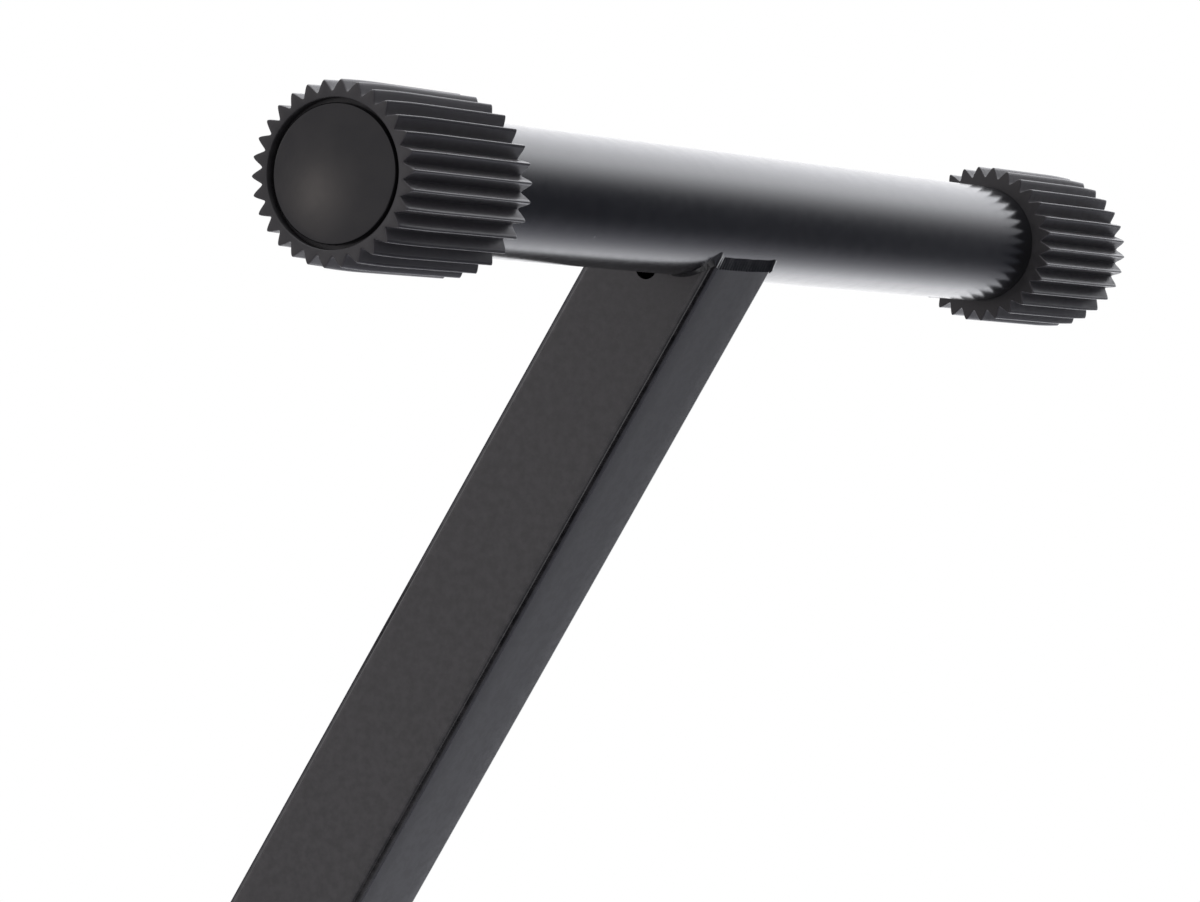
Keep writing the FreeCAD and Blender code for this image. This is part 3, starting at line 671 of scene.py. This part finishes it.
def plug_surface(axis, end_y, inward):
    """A turned plug: swelling face, quarter-round rim, seat on the bar, tapered shank."""
    flat = PLUG_RADIUS - PLUG_RIM
    face = np.linspace(0, 1, DOME_ROWS)
    rim = np.linspace(0, np.pi / 2, ROLL_STEPS)[1:]
    shank = np.array([
        (PLUG_RADIUS, PLUG_SEAT), (SHANK_RADIUS, PLUG_SEAT),
        (SHANK_RADIUS, SHANK_END - SHANK_TAPER),
        (SHANK_RADIUS - SHANK_TAPER, SHANK_END), (0, SHANK_END),
    ])
    swell = PLUG_RECESS - PLUG_SWELL * (1 - face ** 2)
    radius = np.concatenate([flat * face, flat + PLUG_RIM * np.sin(rim), shank[:, 0]])
    place = np.concatenate([swell, PLUG_RECESS + PLUG_RIM * (1 - np.cos(rim)), shank[:, 1]])
    return round_y(axis, radius[:, None], full_turn(PLUG_SIDES), end_y + inward * place[:, None])


for bar, body in BARS.items():
    for end in ("front", "rear"):
        skin = weave(plug_surface(bar_axis[bar], *bar_end(bar, end)), close_columns=True)
        piece = lay_mesh(f"{bar}_{end}_end_plug", [skin], crisp=40)
        dress(piece, body, "plug_plastic", plug_plastic, f"{bar}_{end}_plug")

# %% [markdown]
# ## Legs
# A leg is square tube with rounded corners, cut at both ends to saddle its bars, with a vent notch
# under each bar and a hole through both broad faces for the bolt. Cutting with Booleans would leave
# ragged faces. Here the grid itself does it: columns run along the leg and stop at the saddle, and
# round the bolt a square of cells is left out and its border eased into a circle.

# %% Leg section
leg_low, leg_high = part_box("front_leg_tube")
LEG_HALF = (leg_high.y - leg_low.y) / 2
LEG_CORNER, LEG_WALL = 2.5 * MM, 1.5 * MM
LEG_FLAT = LEG_HALF - LEG_CORNER
VENT_RADIUS, VENT_LIP = 2.75 * MM, 0.03 * MM
FACE_CELLS, VENT_CELLS = 10, 6
SIDE_COLUMNS, CORNER_STEPS = 5, 9
CELL = LEG_FLAT / FACE_CELLS


def face_columns(near_end):
    """Places of the columns across a broad face: even by the bolt, crowded on the vent at ends."""
    number = np.arange(-FACE_CELLS, FACE_CELLS + 1)
    even = number * CELL
    in_vent = VENT_RADIUS * np.sin(np.clip(number / VENT_CELLS, -1, 1) * np.pi / 2)
    past_lip = (np.abs(number) - VENT_CELLS - 1) / (FACE_CELLS - VENT_CELLS - 1)
    lip = VENT_RADIUS + VENT_LIP
    outside = np.sign(number) * (lip + np.clip(past_lip, 0, 1) * (LEG_FLAT - lip))
    crowded = np.where(np.abs(number) <= VENT_CELLS, in_vent, outside)
    return even + near_end[:, None] * (crowded - even)


def leg_section(half, near_end):
    """Across and deep places of a rounded square, face by face and corner by corner, in rows."""
    rows = len(near_end)
    face = face_columns(near_end)
    side = np.linspace(-LEG_FLAT, LEG_FLAT, SIDE_COLUMNS)
    side = np.broadcast_to(side, (rows, SIDE_COLUMNS))
    arc = np.linspace(0, np.pi / 2, CORNER_STEPS + 2)[1:-1]
    bend = half - LEG_FLAT
    out, turned = LEG_FLAT + bend * np.sin(arc), LEG_FLAT + bend * np.cos(arc)
    out, turned = (np.broadcast_to(x, (rows, CORNER_STEPS)) for x in (out, turned))
    flat_face, flat_side = np.full_like(face, half), np.full_like(side, half)
    across = np.hstack([face, out, flat_side, turned, -face, -out, -flat_side, -turned])
    deep = np.hstack([-flat_face, -turned, side, out, flat_face, turned, -side, -out])
    return across, deep


print(f"leg {2 * LEG_HALF / MM:.1f} mm square")

# %% Leg ends
LEG_TRIM, SEAM_TRIM, SEAM_LIFT = 5.9 * MM, 6.6 * MM, 0.9 * MM
COPE_RADIUS = 15.1 * MM
VENT_FROM_AXIS = 15.6 * MM
SNUG = 1.0001


def seam_lift(deep):
    """How far the seam on a narrow wall climbs towards its rear: lift x share cubed."""
    return SEAM_LIFT * np.clip((deep + LEG_HALF) / (2 * LEG_HALF), 0, 1) ** 3


def saddle(across, deep):
    """How far from the bar's axis the leg stops: on the bar's circle, at a trim, round the vent."""
    on_bar = np.sqrt(np.maximum(COPE_RADIUS ** 2 - across ** 2, 0))
    trim = np.where(np.abs(deep) <= LEG_FLAT * SNUG, SEAM_TRIM - seam_lift(deep), LEG_TRIM)
    vent = VENT_FROM_AXIS + np.sqrt(np.maximum(VENT_RADIUS ** 2 - across ** 2, 0))
    in_vent = (np.abs(across) <= VENT_RADIUS * SNUG) & (deep < -LEG_FLAT)
    return np.where(in_vent, vent, np.maximum(on_bar, trim))


# %% Leg walls
TO_ARM, TO_FOOT = 455 * MM, 505 * MM
HOLE_RADIUS = 5.1 * MM
HOLE_CELLS, EASE_CELLS = 4, 8
END_ZONE = 30 * MM
END_SHARES = np.array([1.0, 0.97, 0.85, 0.6, 0.3])
END_CROWDING = 0.25
STRAIGHT = np.array([0.0, 0.25, 0.5, 0.75])


def leg_rows():
    """Place of each row along the leg, and its shares of the foot's and of the arm's saddle."""
    clear = 2 * EASE_CELLS * CELL
    foot_level, arm_level = END_ZONE - TO_FOOT, TO_ARM - END_ZONE
    hole = np.arange(-EASE_CELLS, EASE_CELLS + 1) * CELL
    before = foot_level + (-clear - foot_level) * STRAIGHT
    after = clear + (arm_level - clear) * (1 - STRAIGHT[::-1])
    none = np.zeros_like(END_SHARES)
    place = np.concatenate([none + foot_level, before, [-clear], hole,
                            [clear], after[1:], [arm_level], none + arm_level])
    plain = np.zeros(len(place) - 2 * len(END_SHARES))
    foot = np.concatenate([END_SHARES, plain, none])
    arm = np.concatenate([none, plain, END_SHARES[::-1]])
    return place, foot, arm


def round_hole(across, place, faces):
    """Ease the square border of the left-out cells into the bolt's circle, on both broad faces."""
    ring = np.maximum(np.abs(across), np.abs(place)) / CELL
    pull = np.clip((EASE_CELLS - ring) / (EASE_CELLS - HOLE_CELLS), 0, 1) * faces
    angle = np.arctan2(place, across)
    radius = HOLE_RADIUS * ring / HOLE_CELLS
    return (across + pull * (radius * np.cos(angle) - across),
            place + pull * (radius * np.sin(angle) - place), ring)


def leg_wall_grid(half):
    """One wall of the leg, outer or inner, in leg coordinates, with each point's ring number."""
    place, foot, arm = leg_rows()
    near_end = np.clip(foot + arm, 0, 1) ** END_CROWDING
    across, deep = leg_section(half, near_end)
    past_zone = saddle(across, deep) - END_ZONE
    place = place[:, None] + (foot - arm)[:, None] * past_zone
    on_face = np.abs(deep) > half / SNUG
    eased_across, eased_place, ring = round_hole(across, place, on_face)
    return np.stack([eased_across, deep, eased_place], axis=-1), np.where(on_face, ring, np.inf)


print("leg grid:", leg_wall_grid(LEG_HALF)[0].shape)

# %% Leg patches
RING_SLACK = 0.01
REAR_FACE = 2 * FACE_CELLS + 1 + 2 * CORNER_STEPS + SIDE_COLUMNS


def leg_patches(to_frame):
    """Outer wall, inner wall, rims of both ends, and the rims of both bolt holes."""
    walls = [leg_wall_grid(half) for half in (LEG_HALF, LEG_HALF - LEG_WALL)]
    grids = [to_frame(points) for points, _ in walls]
    patches = []
    for points, (_, ring) in zip(grids, walls):
        spots, quads = weave(points, close_columns=True)
        open_cell = (ring.ravel()[quads] < HOLE_CELLS + RING_SLACK).all(axis=1)
        patches.append((spots, quads[~open_cell]))
    for row in (0, -1):
        patches.append(weave(np.stack([points[row] for points in grids]), close_columns=True))
    middle = int(np.argmin(np.abs(leg_rows()[0])))
    walk = np.arange(-HOLE_CELLS, HOLE_CELLS)
    edge = np.full_like(walk, HOLE_CELLS)
    rows = middle + np.concatenate([-edge, walk, edge, -walk])
    for face in (0, REAR_FACE):
        columns = face + FACE_CELLS + np.concatenate([walk, edge, -walk, -edge])
        rim = np.stack([points[rows, columns] for points in grids])
        patches.append(weave(rim, close_columns=True))
    return patches


# %% Legs
HALF_TURN = np.array([-1, -1, 1])
CORNER_BLEND = 0.3
leg_middle_y = middle_of("front_leg_tube")[1]


def front_leg_frame(points):
    """From leg coordinates (across, deep, along) to the frame, for the front leg."""
    across, deep, along = np.moveaxis(points, -1, 0)[..., None]
    depth = (deep + leg_middle_y) * np.array([0, 1, 0])
    return pivot + across * across_leg + along * along_leg + depth


def rear_leg_frame(points):
    """The rear leg is the front leg turned half round about the upright through the pivot."""
    return front_leg_frame(points) * HALF_TURN


def corner_share(points):
    """How far round a corner of the front leg each point is, where the coat flows out smoother."""
    across = np.abs((points - pivot) @ across_leg)
    deep = np.abs(points[:, 1] - leg_middle_y)
    share = (np.minimum(across, deep) - LEG_FLAT) / LEG_CORNER / CORNER_BLEND
    return np.clip(share, 0, 1)


LEG_FRAMES = {"front": front_leg_frame, "rear": rear_leg_frame}
for side, to_frame in LEG_FRAMES.items():
    piece = lay_mesh(f"{side}_leg_square_tube", leg_patches(to_frame), crisp=30)
    points = points_of(piece) if side == "front" else points_of(piece) * HALF_TURN
    note(piece, CORNER_SHARE, corner_share(points))
    dress(piece, f"{side}_leg", "black_powder_coat", leg_coat, f"{side}_leg_tube")

# %% [markdown]
# ## Weld beads
# Each leg end is welded to its bar along the narrow walls, and the beads turn the corners and die
# out under the bar. A bead could be a plain bevelled curve. A hand-laid one is a flat fillet with
# ripples where the pool froze, swells where the hand paused, and a horn where it turned the corner,
# so its section changes from step to step. The path is drawn on the bar's unrolled surface, where
# it is a simple U with rounded corners.

# %% Weld path
WELD_INSET = 0.8 * MM
WELD_TURN = math.radians(46)
WELD_START = math.acos(1 - WELD_INSET / BAR_RADIUS)
WELD_STEPS, CORNER_BLUR = 260, 13


def rounded(steps):
    """Round the corners of a path: the mean over a few neighbours."""
    padded = np.pad(steps, CORNER_BLUR // 2, mode="edge")
    return np.convolve(padded, np.ones(CORNER_BLUR) / CORNER_BLUR, mode="valid")


def weld_path():
    """Angle round the bar and place along it: under the leg, along a narrow wall, under again."""
    under = WELD_TURN * BAR_RADIUS
    run = np.linspace(0, 2 * under + 2 * LEG_HALF, WELD_STEPS)
    turn = np.maximum(under - run, run - under - 2 * LEG_HALF).clip(0)
    place = np.clip(run - under, 0, 2 * LEG_HALF) - LEG_HALF
    return run, WELD_START + rounded(turn) / BAR_RADIUS, rounded(place)


print(f"a bead runs {weld_path()[0][-1] / MM:.1f} mm")

# %% Weld section
FILLET_STEPS = 12
NARROW_SPREAD, BROAD_SPREAD = 1.45 * MM, 1.7 * MM
NARROW_RISE, BROAD_RISE, CORNER_RISE = 1.70 * MM, 0.8 * MM, 0.5 * MM
FOOT_SINK, NARROW_DROP = 0.05 * MM, 1.3 * MM
TOE_SINK = 0.2 * MM
FILLET_HOLLOW = 0.15 * MM
BEHIND_FOOT, BEHIND_TOE = 1.0 * MM, 0.4 * MM
HIDDEN_OFF = np.array([0.4, -1.1]) * MM


def weld_section(on_narrow, by_corner, swell, lift):
    """Corners of the bead's section for every step, as places away from the leg and off the bar.

    A flat fillet runs from its toe on the bar to its foot on the leg's face, and two hidden
    corners close it inside the metal. On the narrow wall the leg's face lies further out than
    the bar."""
    span = np.linspace(0, 1, FILLET_STEPS)
    share, by_corner, swell, lift = (x[:, None] for x in (on_narrow, by_corner, swell, lift))
    spread = (1 + swell) * (BROAD_SPREAD + (NARROW_SPREAD - BROAD_SPREAD) * share)
    foot = -FOOT_SINK - (NARROW_DROP - lift) * share
    rise = (BROAD_RISE + CORNER_RISE * by_corner) * (1 - share) + NARROW_RISE * share
    away = spread * (1 - span) + foot * span
    off = -TOE_SINK * (1 - span) + rise * span - FILLET_HOLLOW * span * (1 - span)
    hidden_away = np.hstack([foot - BEHIND_FOOT, np.zeros_like(foot) - BEHIND_TOE])
    hidden_off = np.broadcast_to(HIDDEN_OFF, hidden_away.shape)
    return np.hstack([away, hidden_away]), np.hstack([off, hidden_off])


# %% Weld surface
HORN_INSET, HORN_REACH = 1.2 * MM, 1.9 * MM
FRONT_HORN, REAR_HORN, REAR_SWELL = 0.75, 0.25, 0.25
NARROW_EASE, CORNER_REACH = 2 * MM, 3 * MM
FADE_SHARE = 0.09
# A wave of lumps has a height, a number of radians per metre, and its share of the phase.
LUMP_WAVES = ((0.03, 730, 1.0), (0.02, 1310, 2.1))
RIPPLE_PITCH, RIPPLE_DEPTH, RIPPLE_BOW = 1.35 * MM, 0.06 * MM, 0.5


def weld_swell(run, place, on_narrow, lump_phase):
    """How much wider the bead is at each step: lumps, a horn by each corner, a wider rear end."""
    lumps = sum(height * np.sin(run * pace + share * lump_phase)
                for height, pace, share in LUMP_WAVES)
    middle = run[-1] / 2
    from_horn = np.abs(np.abs(run - middle) - (LEG_HALF - HORN_INSET))
    horn = np.where(run < middle, FRONT_HORN, REAR_HORN) * np.exp(-(from_horn / HORN_REACH) ** 2)
    to_rear = np.clip(place / (2 * LEG_HALF) + 0.5, 0, 1)
    return lumps + horn + REAR_SWELL * on_narrow * to_rear


def weld_surface(side, lump_phase):
    """A fillet along the path, with ripples in its face, drawn in to nothing at both ends."""
    run, angle, place = weld_path()
    zero = np.zeros_like(run)
    outward = np.stack([side * np.cos(angle), zero, -np.sin(angle)], axis=-1)
    path = BAR_RADIUS * outward + np.stack([zero, place, zero], axis=-1)
    sideways = np.cross(outward, np.gradient(path, axis=0)) * side
    sideways /= np.linalg.norm(sideways, axis=1, keepdims=True)
    inside_corner = LEG_HALF - np.abs(run - run[-1] / 2)
    on_narrow = np.clip(inside_corner / NARROW_EASE, 0, 1)
    by_corner = np.exp(-(inside_corner / CORNER_REACH) ** 2)
    swell = weld_swell(run, place, on_narrow, lump_phase)
    away, off = weld_section(on_narrow, by_corner, swell, seam_lift(place))
    lag = RIPPLE_BOW * RIPPLE_PITCH * np.linspace(-1, 1, away.shape[1])
    off = off - RIPPLE_DEPTH * np.abs(np.sin(np.pi * (run[:, None] + lag) / RIPPLE_PITCH))
    offset = away[..., None] * sideways[:, None] + off[..., None] * outward[:, None]
    share = run / run[-1]
    fade = np.sqrt(np.clip(np.minimum(share, 1 - share) / FADE_SHARE, 0, 1))
    return path[:, None] + fade[:, None, None] * offset


# %% Welds
FIRST_PHASE, PHASE_STEP = 1.0, 1.7


def at_leg_end(points, end):
    """From coordinates about a bar to leg coordinates: a leg is below its arm, above its foot."""
    across, deep, along = np.moveaxis(points, -1, 0)
    along = TO_ARM + along if end == "arm" else -TO_FOOT - along
    return np.stack([across, deep, along], axis=-1)


for side, to_frame in LEG_FRAMES.items():
    beads = []
    for number, (end, wall) in enumerate((e, w) for e in ("arm", "foot") for w in (1, -1)):
        bead = weld_surface(wall, lump_phase=FIRST_PHASE + PHASE_STEP * number)
        beads.append(weave(to_frame(at_leg_end(bead, end)), close_columns=True))
    piece = lay_mesh(f"{side}_leg_weld_beads", beads, crisp=60)
    dress(piece, f"{side}_leg", "black_powder_coat", weld_coat_painted_shade, f"{side}_leg_welds")

# %% [markdown]
# ## Hand knob
# The knob is a moulded star grip: a hub, six lobes with hollows for the fingers, and a cap on top.
# A circle with six cylinders cut away would have hard corners. Here the outline is a smooth minimum
# of the outer circle and the hollows' circles, and the profile rolls over at both edges.

# %% Knob outline
KNOB_RADIUS = 29 * MM
HOLLOW_RADIUS, HOLLOW_FROM_AXIS = 11 * MM, 34 * MM
LOBES, LOBE_BLEND = 6, 1.6 * MM
KNOB_SIDES = 240


def knob_outline(angle):
    """Radius: the smaller of the outer circle and the nearest hollow's near side, blended."""
    away = np.abs((angle * LOBES / (2 * np.pi) + 0.5) % 1 - 0.5) * 2 * np.pi / LOBES
    inside = HOLLOW_RADIUS ** 2 - (HOLLOW_FROM_AXIS * np.sin(away)) ** 2
    hollow = HOLLOW_FROM_AXIS * np.cos(away) - np.sqrt(np.maximum(inside, 0))
    mix = np.clip(0.5 + (hollow - KNOB_RADIUS) / (2 * LOBE_BLEND), 0, 1)
    return hollow + (KNOB_RADIUS - hollow) * mix - LOBE_BLEND * mix * (1 - mix)


outline = knob_outline(full_turn(KNOB_SIDES))
print(f"knob radius from {outline.min() / MM:.1f} to {outline.max() / MM:.1f} mm")

# %% Knob and cap
HUB_RADIUS, HUB_HEIGHT, HUB_EDGE = 16 * MM, 7 * MM, 0.8 * MM
KNOB_TOP, KNOB_ROLL = 25 * MM, 3.2 * MM
SEAT_RADIUS, SEAT_DEPTH = 9.05 * MM, 16 * MM
WELL_RADIUS = 7 * MM
CAP_RADIUS, CAP_FLOOR, CAP_RISE, CAP_FIT = 13 * MM, 22.5 * MM, 1.6 * MM, 0.05 * MM
RECESS_RADIUS, RECESS_EDGE = CAP_RADIUS + CAP_FIT, HUB_EDGE / 2


def knob_surface(axis, foot_y):
    """A closed profile carried round: seat, hub, underside, rolled lobes, top, recess, well.

    A row is a radius, a height, whether it follows the lobes, and how far it is set in."""
    angle = full_turn(KNOB_SIDES)
    roll = np.linspace(0, np.pi / 2, ROLL_STEPS)
    rolled = [(KNOB_ROLL * (1 - math.sin(t)), KNOB_ROLL * (1 - math.cos(t))) for t in roll]
    rows = [(SEAT_RADIUS, 0, 0, 0), (HUB_RADIUS - HUB_EDGE, 0, 0, 0),
            (HUB_RADIUS, HUB_EDGE, 0, 0), (HUB_RADIUS, HUB_HEIGHT, 0, 0)]
    rows += [(0, HUB_HEIGHT + drop, 1, inset) for drop, inset in rolled[::-1]]
    rows += [(0, KNOB_TOP - drop, 1, inset) for drop, inset in rolled]
    rows += [(RECESS_RADIUS + RECESS_EDGE, KNOB_TOP, 0, 0),
             (RECESS_RADIUS, KNOB_TOP - RECESS_EDGE, 0, 0), (RECESS_RADIUS, CAP_FLOOR, 0, 0),
             (WELL_RADIUS, CAP_FLOOR, 0, 0), (WELL_RADIUS, SEAT_DEPTH, 0, 0),
             (SEAT_RADIUS, SEAT_DEPTH, 0, 0)]
    base, height, lobed, inset = np.array(rows).T[..., None]
    radius = base + lobed * (knob_outline(angle) - inset)
    return round_y(axis, radius, angle, foot_y - height)


def cap_surface(axis, foot_y):
    """A low dome on a short skirt: height = skirt + rise x (1 - share cubed)."""
    share = np.linspace(1, 0, DOME_ROWS)[1:]
    skirt = KNOB_TOP - CAP_FLOOR
    wall_radius = [0, CAP_RADIUS - CAP_FIT, CAP_RADIUS, CAP_RADIUS]
    wall_height = [0, 0, CAP_FIT, skirt]
    radius = np.concatenate([wall_radius, CAP_RADIUS * share])
    height = np.concatenate([wall_height, skirt + CAP_RISE * (1 - share ** 3)])
    place = foot_y - CAP_FLOOR - height[:, None]
    return round_y(axis, radius[:, None], full_turn(PLUG_SIDES), place)


knob_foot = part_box("knob_grip")[1].y
skin = weave(knob_surface(pivot, knob_foot), close_rows=True, close_columns=True)
knob = lay_mesh("star_knob", [skin], crisp=40)
dress(knob, "hand_knob", "knob_plastic", knob_plastic, "knob_grip")
skin = weave(cap_surface(pivot, knob_foot), close_columns=True)
cap = lay_mesh("star_knob_cap", [skin], crisp=40)
dress(cap, "hand_knob", "knob_plastic", cap_plastic, "knob_cap")

# %% [markdown]
# ## Cone spring
# A cone-shaped spring washer parts the toothed discs while the knob is slack, and flattens when it
# is tightened. The CAD cone is stiff, so it would cut into the rear disc. This one is turned from a
# slanted profile.

# %% Cone spring
SPRING_THICKNESS = 0.8 * MM
spring_low, spring_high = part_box("clutch_spring")
SPRING_RADIUS = (spring_high.x - spring_low.x) / 2
SPRING_HEIGHT = spring_high.y - spring_low.y


def spring_surface():
    """A slanted band carried round the bolt: wide at the front disc, narrow at the rear one."""
    radius = np.array([SPRING_RADIUS, SPRING_RADIUS, HOLE_RADIUS, HOLE_RADIUS])
    place = np.array([0, SPRING_THICKNESS, SPRING_HEIGHT, SPRING_HEIGHT - SPRING_THICKNESS])
    return round_y(pivot, radius[:, None], full_turn(PLUG_SIDES), spring_low.y + place[:, None])


skin = weave(spring_surface(), close_rows=True, close_columns=True)
spring = lay_mesh("cone_spring", [skin], crisp=40)
dress(spring, "front_leg", "zinc_steel", zinc_steel, "clutch_spring")
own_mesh(spring)

# %% [markdown]
# ## CAD nodes that stay
# The clutch discs with their teeth, the spacers, washers, bolt and insert already have their real
# shape in the frame. They could be drawn again, but nothing would be gained. They keep their
# shape, and only get a finish.

# %% Finishes on CAD nodes
NODE_FINISHES = {
    "front_clutch_disc": clutch_steel,
    "rear_clutch_disc": clutch_steel,
    "front_pivot_spacer": zinc_steel,
    "rear_pivot_spacer": zinc_steel,
    "front_washer": zinc_steel,
    "rear_washer": zinc_steel,
    "pivot_bolt": zinc_steel,
    "knob_insert": insert_brass,
}
for node, finish in NODE_FINISHES.items():
    mesh = frame["nodes"][node].data
    mesh.materials.clear()
    mesh.materials.append(finish)
print("finished CAD nodes:", list(NODE_FINISHES))

# %% [markdown]
# ## Floor
# A pale floor carries the stand's shadow. A square of it would show its edge in high views, so the
# floor is a disc, drawn as rings round the stand, that fades into the white room towards its rim.

# %% Floor
FLOOR_RADIUS, FLOOR_FADE = 0.95, 0.45
FLOOR_RINGS, FLOOR_SIDES = 12, 96
FLOOR_PALE = (0.86, 0.86, 0.86, 1)


def floor_surface():
    """Rings on z = 0: radius grows evenly from the middle to the rim."""
    radius = np.linspace(0, FLOOR_RADIUS, FLOOR_RINGS)[:, None]
    angle = full_turn(FLOOR_SIDES)
    level = np.zeros((FLOOR_RINGS, FLOOR_SIDES))
    return np.stack([radius * np.cos(angle), radius * np.sin(angle), level], axis=-1)


floor = lay_mesh("floor", [weave(floor_surface(), close_columns=True)])
floor_paint = bpy.data.materials.new("pale_floor")
floor_paint.use_nodes = True
tree = floor_paint.node_tree
tree.nodes.clear()
spot = wire(tree, "ShaderNodeTexCoord").outputs["Object"]
distance = wire(tree, "ShaderNodeVectorMath", {"operation": "LENGTH"}, Vector=spot)
fade = ease(tree, distance.outputs["Value"], FLOOR_FADE, FLOOR_RADIUS)
pale = wire(tree, "ShaderNodeBsdfDiffuse", Color=FLOOR_PALE)
gone = wire(tree, "ShaderNodeBsdfTransparent")
wire(tree, "ShaderNodeOutputMaterial", Surface=mix_shaders(tree, fade, pale, gone))
floor.data.materials.append(floor_paint)
print("floor radius", FLOOR_RADIUS)
